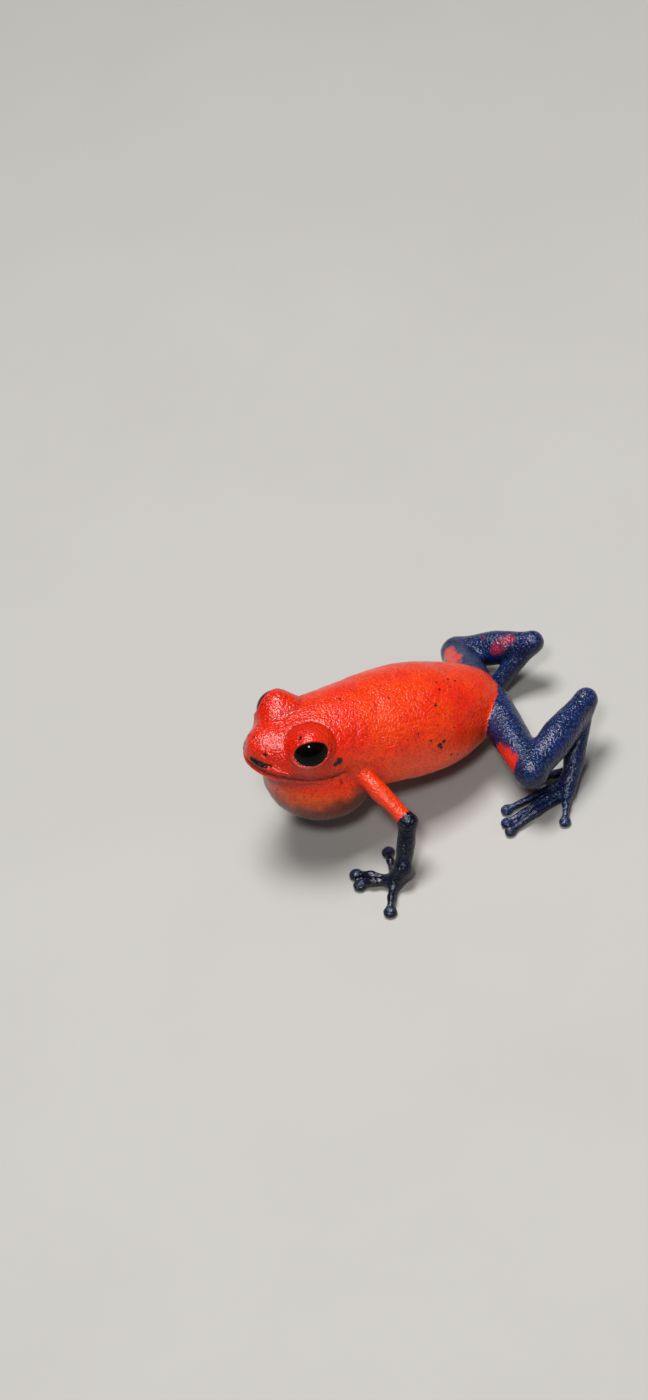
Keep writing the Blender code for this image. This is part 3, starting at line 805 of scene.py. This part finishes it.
# Round spots: where their edge ends and over how much it fades, as shares of the radius.
SPOT_RIM = 1.1
SPOT_SOFTNESS = 0.4

# Lines round the mouth and lids: distance, strength and width. The mouth line and the band above it are
# painted shade, and the line below it is a painted highlight.
MOUTH_SHADE_LINE = (0.0, 1.0, 0.1)
CHEEK_SHADE_BAND = (0.3, 1.0, 0.35)
LIP_HIGHLIGHT_LINE = (-0.24, 1.0, 0.1)
RIM_LINE = (1.17, 1.0, 0.06)


def nearest_forms(points):
    """How far each point lies from the trunk, the sac, all limbs and each colour's parts."""
    trunk = blended(trunk_forms(), points)
    sac = sac_form().distance(points)
    red = np.minimum(trunk, sac)
    limbs = np.full(len(points), FAR_OFF)
    blue = limbs.copy()
    arm_ends = limbs.copy()
    for name, form in frog_forms()[0].items():
        off = form.near(points)
        limbs = np.minimum(limbs, off)
        if name.startswith("upper_arm"):
            red = np.minimum(red, off)
        if name.startswith(BLUE_KINDS):
            blue = np.minimum(blue, off)
        if name.startswith(ARM_KINDS):
            arm_ends = np.minimum(arm_ends, off)
    for side, joints in (("left", LEFT_ARM), ("right", RIGHT_ARM)):
        shoulder = on_floor(SHOULDER if side == "left" else mirrored(SHOULDER))
        axis = np.array(joints[0]) - shoulder
        share = (points - shoulder) @ axis / (axis @ axis)
        near = np.linalg.norm(points - np.array(joints[0]), axis=1) < CUFF_REACH
        cuff = np.where(near, (CUFF_SHARE - share) * CUFF_EDGE, FAR_OFF)
        blue = np.minimum(blue, cuff)
        arm_ends = np.minimum(arm_ends, cuff)
    return trunk, sac, limbs, red, blue, arm_ends


def spot_mask(points, spots, wobble, soft=SPOT_SOFTNESS):
    """1 inside any of the round spots, with uneven edges that fade over a share of the radius."""
    inside = np.zeros(len(points))
    for centre, radius in spots:
        off = np.linalg.norm(points - np.array(centre), axis=1) + wobble
        inside = np.maximum(inside, 1.0 - ramp(off, (SPOT_RIM - soft) * radius, SPOT_RIM * radius))
    return inside


def both_sides(spots):
    return spots + tuple((mirrored(centre), radius) for centre, radius in spots)


def skin_masks(mesh):
    """Where each colour of the skin lies, with its painted shade and painted sheen, kept for every vertex.
    """
    points = vertex_places(mesh)
    place = to_body(points)
    back, up = place[:, 1], place[:, 2]
    wobble = WOBBLE * sum(share * noise_at(points, scale) for scale, share in WOBBLE_SCALES)
    trunk, sac, limbs, red, blue, arm_ends = nearest_forms(points)
    store_mask(mesh, "blue", ramp(red - blue + wobble, *BLUE_EDGE))
    store_mask(mesh, "hand", ramp(red - arm_ends + wobble, *BLUE_EDGE))
    store_mask(mesh, "trunk", ramp(limbs - trunk, *TRUNK_EDGE))
    store_mask(mesh, "sac", ramp(trunk - sac + wobble, *SAC_EDGE))
    store_mask(mesh, "sac_drop", ramp(-up + 2.0 * wobble, *SAC_ORANGE_DROP))
    # Painted shade, darkening the sac toward its bottom and toward the chest.
    store_mask(mesh, "sac_under_shade", ramp(-up + 0.3 * back + 3.0 * wobble, *SAC_SHADE_DROP))
    store_mask(mesh, "flank", 1.0 - ramp(up + 4.0 * wobble, *FLANK_HEIGHTS))
    store_mask(mesh, "snout", 1.0 - ramp(back + 3.0 * wobble, *SNOUT_BACK))
    face_masks(mesh, place, wobble)
    for name, spots, unevenness, soft in PATCHES:
        store_mask(mesh, name, spot_mask(points, spots, unevenness * wobble, soft))
    store_mask(mesh, "disc", disc_mask(points))
    # Painted shade in the folds and creases, stronger where they sink deeper.
    store_mask(mesh, "fold_shade", ramp(-fold_relief(points), *FOLD_SHADE_DEPTHS))
    # How much the skin faces up, for the painted sheen on the limbs' tops.
    store_mask(mesh, "upper", ramp(vertex_places(mesh, "normal")[:, 2], *SHEEN_FACING))


def face_masks(mesh, place, wobble):
    """The mouth line, lids, nostrils and dark spots. There is painted shade along the mouth line, above it
    under the eyes and in the nostrils, and partly on the lids' inner edges. A painted highlight runs under
    the mouth line.
    """
    back, up = place[:, 1], place[:, 2]
    along = along_mouth(back)
    off_mouth = up - mouth_height(back)
    # Painted shade along the mouth line.
    store_mask(mesh, "mouth_shade", ridge(off_mouth, MOUTH_SHADE_LINE) * along)
    # Painted shade: a darker band above the mouth, under the eye.
    store_mask(mesh, "cheek_shade", ridge(off_mouth + wobble, CHEEK_SHADE_BAND) * along * ramp(back, *CHEEK_SHADE_BACK))
    # Painted highlight: a lighter line along the lower lip, under the mouth line.
    store_mask(mesh, "lip_highlight", ridge(off_mouth, LIP_HIGHLIGHT_LINE) * along)
    ring = np.minimum(lid_ring(place, 1.0), lid_ring(place, -1.0))
    # Near black inside the lids' edges: partly their dark skin, partly painted shade in the gap round the
    # eyeball.
    store_mask(mesh, "lid", 1.0 - ramp(ring, *LID_RINGS))
    lower = 1.0 - ramp(up - BROW[0][2], *RIM_HEIGHTS)
    store_mask(mesh, "rim", ridge(ring, RIM_LINE) * lower)
    # Painted shade in the nostrils' openings, laid with the dark markings.
    nostril_shade = both_sides(((NOSTRIL_HOLE, NOSTRIL_RADIUS),))
    dark = LIP_SPOTS[:2] + both_sides(LIP_SPOTS[2:] + EAR_SPOTS) + BODY_FLECKS + nostril_shade
    store_mask(mesh, "fleck_and_nostril_shade", spot_mask(place, dark, 0.35 * wobble))
    store_mask(mesh, "pit", spot_mask(place, both_sides(PIT_SPOTS), 0.3 * wobble))


def disc_mask(points):
    """The tops of the finger and toe discs."""
    inside = np.zeros(len(points))
    for _, tips in digit_tips():
        for tip in tips:
            off = np.linalg.norm(points - np.array((*tip, TIP_HEIGHT + DISC_TOP)), axis=1)
            inside = np.maximum(inside, 1.0 - ramp(off, *DISC_REACH))
    return inside


class Painter:
    """Builds a material's nodes: each call adds one node and gives back its output."""

    def __init__(self, name):
        self.material = bpy.data.materials.new(name)
        self.material.use_nodes = True
        self.tree = self.material.node_tree
        self.shader = self.tree.nodes["Principled BSDF"]
        place = self.tree.nodes.new("ShaderNodeTexCoord").outputs["Object"]
        self.place = self.vector("MULTIPLY", place, (1.0 / MM,) * 3)

    def put(self, socket, value):
        if isinstance(value, bpy.types.NodeSocket):
            self.tree.links.new(value, socket)
        else:
            socket.default_value = value

    def node(self, kind, inputs, output=0, **settings):
        made = self.tree.nodes.new("ShaderNode" + kind)
        for name, value in settings.items():
            setattr(made, name, value)
        for name, value in inputs.items():
            self.put(made.inputs[name], value)
        return made.outputs[output]

    def vector(self, operation, first, second):
        return self.node("VectorMath", {0: first, 1: second}, operation=operation)

    def mask(self, name):
        return self.node("Attribute", {}, output="Fac", attribute_name=name)

    def noise(self, scale, detail, roughness, place=None):
        settings = {"Scale": scale, "Detail": detail, "Roughness": roughness}
        return self.node("TexNoise", {"Vector": place or self.place, **settings})

    def cells(self, scale, output="Distance", feature="F1"):
        inputs = {"Vector": self.place, "Scale": scale}
        return self.node("TexVoronoi", inputs, output=output, feature=feature)

    def between(self, value, low, high, out_low=0.0, out_high=1.0):
        inputs = {"Value": value, "From Min": low, "From Max": high, "To Min": out_low, "To Max": out_high}
        return self.node("MapRange", inputs, interpolation_type="SMOOTHSTEP")

    def math(self, operation, first, second):
        return self.node("Math", {0: first, 1: second}, operation=operation)

    def mix(self, factor, first, second):
        inputs = {0: factor, 6: first, 7: second}
        return self.node("Mix", inputs, output=2, data_type="RGBA")

    def layer(self, base, mask, strength, tint):
        """The base colour with a tint over it, where the mask lies."""
        return self.mix(self.math("MULTIPLY", mask, strength), base, tint)

    def layers(self, base, rows):
        """The base colour under one tint for each row of mask name, strength and colour."""
        for name, strength, tint in rows:
            base = self.layer(base, self.mask(name), strength, tint)
        return base

    def bump(self, height, distance, strength, normal=None):
        inputs = {"Height": height, "Distance": distance * MM, "Strength": strength}
        if normal:
            inputs["Normal"] = normal
        return self.node("Bump", inputs)

    def set(self, **values):
        for name, value in values.items():
            self.put(self.shader.inputs[name.replace("_", " ")], value)


# Colours laid over each other: name of the mask, strength and colour.
HEAD_LAYERS = (
    ("snout", 0.8, SNOUT_CRIMSON),
    # The band under the eye is painted shade.
    ("cheek_shade", 0.75, SHADE_CRIMSON),
    # The line along the lower lip is a painted highlight.
    ("lip_highlight", 0.6, BACK_ORANGE),
)
MARK_LAYERS = (
    ("pit", 0.8, FRECKLE_RED),
    # The dark markings and the painted shade in the nostrils.
    ("fleck_and_nostril_shade", 1.0, FLECK_AND_NOSTRIL_SHADE_DARK),
    # The mouth line is painted shade.
    ("mouth_shade", 0.85, LID_AND_MOUTH_SHADE_DARK),
    ("rim", 0.6, RIM_PINK),
    # The lids' inner edges: partly dark skin, partly painted shade.
    ("lid", 1.0, LID_AND_MOUTH_SHADE_DARK),
)
PATCH_LAYERS = (("red_patch", PATCH_RED), ("pink_patch", PATCH_PINK), ("strip", BACK_ORANGE))
FLANK_STRENGTH = 0.85
SAC_SHADE_STRENGTH = 0.88
FOLD_SHADE_STRENGTH = 0.7
HAND_STRENGTH = 0.9
DISC_STRENGTH = 0.6
PATCH_STRENGTH = 0.88

# Noises of the skin: scale to a millimetre, detail and roughness; and its grains' scale.
BROAD_NOISE = (0.35, 2.0, 0.55)
MOTTLE_NOISE = (1.3, 4.0, 0.55)
FINE_NOISE = (12.0, 3.0, 0.65)
WRINKLE_NOISE = (6.0, 4.0, 0.65)
WRINKLE_STRETCH = (1.0, 0.5, 1.0)
GRAIN_SCALE = 6.4

# Noises of the eyes and the floor.
IRIS_NOISE = (9.0, 4.0, 0.55)
CORNEA_NOISE = (2.0, 3.0, 0.55)
FLOOR_NOISE = (0.05, 3.0, 0.55)
FLOOR_GRAIN = (1.2, 2.0, 0.55)

# Dots on the red skin: cells to a millimetre, share left empty, largest radius in cells.
SMALL_DOTS = (2.3, 0.25, 0.17)
SMALL_DOT_STRENGTH = 0.75
LARGE_DOTS = (0.8, 0.75, 0.13)
LARGE_DOT_STRENGTH = 0.9

# Relief of the skin: its height in millimetres and its strength.
WRINKLE_BUMP = (0.045, 0.7)
GRAIN_BUMP = (0.04, 0.9)
FINE_BUMP = (0.022, 0.9)
WET_GLOSS = 0.1


def red_skin(paint, grain, mottle, broad):
    """Orange-red of the body, crimson on the snout and orange on the sac and flanks, with painted shade
    under the eyes, in the folds and on the sac's underside, and a painted highlight along the lower lip.
    """
    red = paint.mix(paint.between(broad, 0.35, 0.62), BACK_RED, BACK_ORANGE)
    red = paint.mix(paint.between(mottle, 0.52, 0.72, 0.0, 0.45), red, DEEP_RED)
    flank = paint.math("MULTIPLY", paint.mask("flank"), paint.mask("trunk"))
    red = paint.layer(red, flank, FLANK_STRENGTH, FLANK_ORANGE)
    # Painted shade in the band under the eyes and a painted highlight along the lower lip.
    red = paint.layers(red, HEAD_LAYERS)
    sac = paint.mix(paint.mask("sac_drop"), SAC_RED, SAC_ORANGE)
    sac = paint.mix(paint.between(mottle, 0.45, 0.65, 0.0, 0.5), sac, SAC_RED)
    # Painted shade on the sac's underside.
    sac = paint.layer(sac, paint.mask("sac_under_shade"), SAC_SHADE_STRENGTH, SAC_SHADE_BROWN)
    red = paint.mix(paint.mask("sac"), red, sac)
    # Painted shade in the folds and creases.
    red = paint.layer(red, paint.mask("fold_shade"), FOLD_SHADE_STRENGTH, SHADE_CRIMSON)
    return paint.mix(paint.between(grain, 0.35, 0.7, 0.0, 0.35), red, GRAIN_SHADE)


def blue_skin(paint, grain, mottle, broad, fine):
    """Navy of the limbs, with a painted pale blue sheen on the grains of their upward-facing tops, near
    black on the forearms.
    """
    blue = paint.mix(paint.between(broad, 0.5, 0.7, 0.0, 0.35), LIMB_NAVY, LIMB_PURPLE)
    blue = paint.mix(paint.between(mottle, 0.45, 0.65, 0.0, 0.7), blue, LIMB_BLUE)
    # Painted sheen on the grains of the limbs' upward-facing tops.
    top_sheen = paint.math("MULTIPLY", paint.mask("upper"), paint.between(fine, 0.3, 0.6, 0.4, 0.9))
    sheen_amount = paint.math("MULTIPLY", top_sheen, paint.between(grain, 0.1, 0.5, 1.0, 0.15))
    blue = paint.mix(sheen_amount, blue, LIMB_SHEEN_SLATE)
    hand = paint.mix(paint.between(mottle, 0.45, 0.7, 0.0, 0.6), HAND_NAVY, LIMB_NAVY)
    blue = paint.layer(blue, paint.mask("hand"), HAND_STRENGTH, hand)
    blue = paint.layer(blue, paint.mask("disc"), DISC_STRENGTH, DISC_SLATE)
    for name, tint in PATCH_LAYERS:
        uneven = paint.math("MULTIPLY", paint.mask(name), paint.between(fine, 0.3, 0.7, 0.6, 1.4))
        blue = paint.mix(paint.between(uneven, 0.1, 1.0, 0.0, PATCH_STRENGTH), blue, tint)
    return blue


def freckles(paint, scale, chance, largest):
    """Scattered small dots of uneven size."""
    lottery = paint.cells(scale, output="Color")
    drawn = paint.node("SeparateColor", {"Color": lottery})
    size = paint.between(drawn, chance, 1.0, 0.0, largest)
    return paint.between(paint.math("SUBTRACT", size, paint.cells(scale)), 0.0, 0.05)


def marked(paint, tint):
    """The skin's colour with its freckles, flecks and lids, painted shade along the mouth line and in the
    nostrils, and in part painted shade on the lids.
    """
    on_red = paint.between(paint.mask("blue"), 0.2, 0.6, 1.0, 0.0)
    small = paint.math("MULTIPLY", freckles(paint, *SMALL_DOTS), on_red)
    large = paint.math("MULTIPLY", freckles(paint, *LARGE_DOTS), on_red)
    tint = paint.layer(tint, small, SMALL_DOT_STRENGTH, FRECKLE_RED)
    tint = paint.layer(tint, large, LARGE_DOT_STRENGTH, FLECK_AND_NOSTRIL_SHADE_DARK)
    return paint.layers(tint, MARK_LAYERS)


def skin_material():
    """Moist granular skin, orange-red on the body and blue on the limbs."""
    paint = Painter("frog_skin")
    stretched = paint.vector("MULTIPLY", paint.place, WRINKLE_STRETCH)
    broad = paint.noise(*BROAD_NOISE)
    mottle = paint.noise(*MOTTLE_NOISE)
    fine = paint.noise(*FINE_NOISE)
    grain = paint.cells(GRAIN_SCALE, feature="SMOOTH_F1")
    wrinkles = paint.noise(*WRINKLE_NOISE, stretched)
    red = red_skin(paint, grain, mottle, broad)
    blue = blue_skin(paint, grain, mottle, broad, fine)
    tint = marked(paint, paint.mix(paint.mask("blue"), red, blue))
    domes = paint.between(grain, 0.0, 0.65, 1.0, 0.0)
    normal = paint.bump(wrinkles, *WRINKLE_BUMP)
    normal = paint.bump(domes, *GRAIN_BUMP, normal)
    normal = paint.bump(fine, *FINE_BUMP, normal)
    gloss = paint.between(mottle, 0.3, 0.7, 0.27, 0.37)
    wet = paint.math("ADD", paint.mask("snout"), paint.mask("blue"))
    wet = paint.math("MULTIPLY", paint.math("MINIMUM", wet, 1.0), WET_GLOSS)
    paint.set(
        Base_Color=tint,
        Roughness=paint.math("SUBTRACT", gloss, wet),
        Normal=normal,
        Coat_Normal=normal,
        Coat_Weight=0.24,
        Coat_Roughness=0.12,
        Subsurface_Weight=0.1,
        Subsurface_Radius=(0.5 * MM, 0.18 * MM, 0.1 * MM),
        Subsurface_Scale=1.0,
        IOR=1.36,
    )
    return paint.material


def eye_material():
    """A dark eye: black pupil, very dark brown iris and a wet cornea."""
    paint = Painter("wet_eye")
    iris = paint.mix(paint.between(paint.noise(*IRIS_NOISE), 0.4, 0.7), EYE_BLACK, IRIS_BROWN)
    paint.set(
        Base_Color=paint.mix(paint.mask("pupil"), iris, EYE_BLACK),
        Roughness=paint.between(paint.noise(*CORNEA_NOISE), 0.3, 0.7, 0.05, 0.1),
        Coat_Weight=0.25,
        Coat_Roughness=0.03,
        Coat_IOR=1.3,
        IOR=1.12,
    )
    return paint.material


def soften_lids(skin):
    """Smooths the edges of the lids, where the skin turns in to the eye."""
    place = to_body(vertex_places(skin.data))
    ring = np.minimum(lid_ring(place, 1.0), lid_ring(place, -1.0))
    edge = skin.vertex_groups.new(name="lid_edge")
    middle, reach, rounds = LID_SMOOTHING
    edge.add(np.flatnonzero(np.abs(ring - middle) < reach).tolist(), 1.0, "REPLACE")
    modifier = skin.modifiers.new("lids", "SMOOTH")
    modifier.vertex_group = edge.name
    modifier.iterations = rounds
    apply_modifiers(skin)


def make_skin():
    """One skin over the whole frog, with the lids open."""
    field = fine_field()
    skin = settled("frog_skin_whole", filling_balls(), frog_field(), SKIN_VOXEL)
    subdivide(skin)
    settle(skin.data, field, FINE_ROUNDS)
    soften_lids(skin)
    swell_by_noise(skin.data)
    skin_masks(skin.data)
    skin.data.transform(Matrix.Scale(MM, 4) @ Matrix.Translation(SHIFT))
    skin.data.shade_smooth()
    skin.data.materials.append(skin_material())
    return skin


def make_eyeball(side, name, material):
    """A round eyeball under the lids, with its pupil turned outward."""
    centre, out, length, up = eye_frame(side)
    bm = bmesh.new()
    round_it, down_it = EYEBALL_SEGMENTS
    bmesh.ops.create_uvsphere(bm, u_segments=round_it, v_segments=down_it, radius=EYEBALL_RADIUS)
    mesh = bpy.data.meshes.new(name)
    bm.to_mesh(mesh)
    bm.free()
    turn = spine_turn() @ np.array((length, up, out)).T
    local = vertex_places(mesh)
    off_pupil = np.hypot(local[:, 0] / PUPIL[0], local[:, 1] / PUPIL[1])
    store_mask(mesh, "pupil", (1.0 - ramp(off_pupil, *PUPIL_EDGE)) * (local[:, 2] > 0.0))
    places = local @ turn.T + on_floor(centre)
    mesh.vertices.foreach_set("co", to_frame(places).ravel())
    mesh.update()
    if np.linalg.det(turn) < 0.0:
        mesh.flip_normals()
    mesh.shade_smooth()
    eye = new_object(name, mesh)
    mesh.materials.append(material)
    return eye


# The floor: half its side and its drop under the hands and feet in metres, and its relief.
FLOOR_HALF = 1.2
FLOOR_SINK = 0.00002
FLOOR_BUMP = (0.01, 0.3)


def make_floor():
    """A plain pale floor that ends far outside the view."""
    bm = bmesh.new()
    bmesh.ops.create_grid(bm, x_segments=1, y_segments=1, size=FLOOR_HALF)
    mesh = bpy.data.meshes.new("floor")
    bm.to_mesh(mesh)
    bm.free()
    floor = new_object("floor", mesh)
    floor.location = (0.0, 0.0, -FLOOR_SINK)
    paint = Painter("pale_floor")
    paint.set(
        Base_Color=paint.mix(paint.noise(*FLOOR_NOISE), FLOOR_PALE, FLOOR_SHADE),
        Roughness=0.75,
        Normal=paint.bump(paint.noise(*FLOOR_GRAIN), *FLOOR_BUMP),
    )
    mesh.materials.append(paint.material)
    return floor


# The camera: the photo's frame, 648 by 1400, with the frog's spine 14.2 px to a millimetre.
PHOTO_SIZE = (648, 1400)
PHOTO_SCALE = 14.2
VIEW_RIGHT = (0.5003, 0.8534, -0.1464)
VIEW_DOWN = (0.5739, -0.4535, -0.6819)
SNOUT_ON_PHOTO = (245, 746)
AIM = (0.0, 8.7, 6.4)
DISTANCE = 300.0
SENSOR_MM = 36.0


def make_camera():
    """The photo's view: from the frog's left, in front and above."""
    right = Vector(VIEW_RIGHT).normalized()
    down = Vector(VIEW_DOWN)
    down = (down - right * right.dot(down)).normalized()
    back = right.cross(-down)
    offset = Vector(AIM) - Vector((0.0, 0.0, SNOUT_HEIGHT))
    seen = (
        SNOUT_ON_PHOTO[0] + PHOTO_SCALE * right.dot(offset),
        SNOUT_ON_PHOTO[1] + PHOTO_SCALE * down.dot(offset),
    )
    data = bpy.data.cameras.new("photo_camera")
    camera = bpy.data.objects.new("photo_camera", data)
    bpy.context.scene.collection.objects.link(camera)
    turn = Matrix((right, -down, back)).transposed().to_4x4()
    place = Vector(to_frame(AIM)) + back * DISTANCE * MM
    camera.matrix_world = Matrix.Translation(place) @ turn
    data.sensor_fit = "HORIZONTAL"
    data.sensor_width = SENSOR_MM
    data.lens = SENSOR_MM * DISTANCE * PHOTO_SCALE / PHOTO_SIZE[0]
    data.shift_x = (PHOTO_SIZE[0] / 2 - seen[0]) / PHOTO_SIZE[0]
    data.shift_y = (seen[1] - PHOTO_SIZE[1] / 2) / PHOTO_SIZE[0]
    data.clip_start = 0.001
    data.clip_end = 10.0
    bpy.context.scene.camera = camera


# Soft lamps: name, place round the frog and size in metres, power in watts.
LAMPS = (
    ("sky", (-0.04, 0.0, 0.3), 0.115, 1.45),
    ("window", (0.17, -0.1, 0.3), 0.05, 0.75),
    ("fill", (0.26, 0.16, 0.07), 0.16, 0.25),
)
LAMP_AIM = (0.0, 0.0, 0.005)
WORLD_STRENGTH = 0.07


def make_lights():
    for name, place, size, power in LAMPS:
        data = bpy.data.lights.new(name, "AREA")
        data.size = size
        data.energy = power
        lamp = bpy.data.objects.new(name, data)
        lamp.location = place
        aim = Vector(LAMP_AIM) - Vector(place)
        lamp.visible_glossy = name != "fill"
        lamp.rotation_euler = aim.to_track_quat("-Z", "Y").to_euler()
        bpy.context.scene.collection.objects.link(lamp)
    world = bpy.data.worlds.new("studio")
    world.use_nodes = True
    sky = world.node_tree.nodes["Background"]
    sky.inputs["Color"].default_value = (1.0, 1.0, 1.0, 1.0)
    sky.inputs["Strength"].default_value = WORLD_STRENGTH
    bpy.context.scene.world = world
    bpy.context.scene.view_settings.view_transform = "Standard"


FLESH = ["head", "torso", "vocal_sac"]
FLESH += [
    f"{part}_{side}"
    for part in ("upper_arm", "forearm", "hand", "thigh", "shank", "foot")
    for side in ("left", "right")
]


def main():
    skin = make_skin()
    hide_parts(*FLESH)
    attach(skin, "root")
    material = eye_material()
    for side, name in ((1.0, "left"), (-1.0, "right")):
        eye = make_eyeball(side, "eyeball_" + name, material)
        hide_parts("eye_" + name)
        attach(eye, "root")
    make_floor()
    make_lights()
    make_camera()


main()
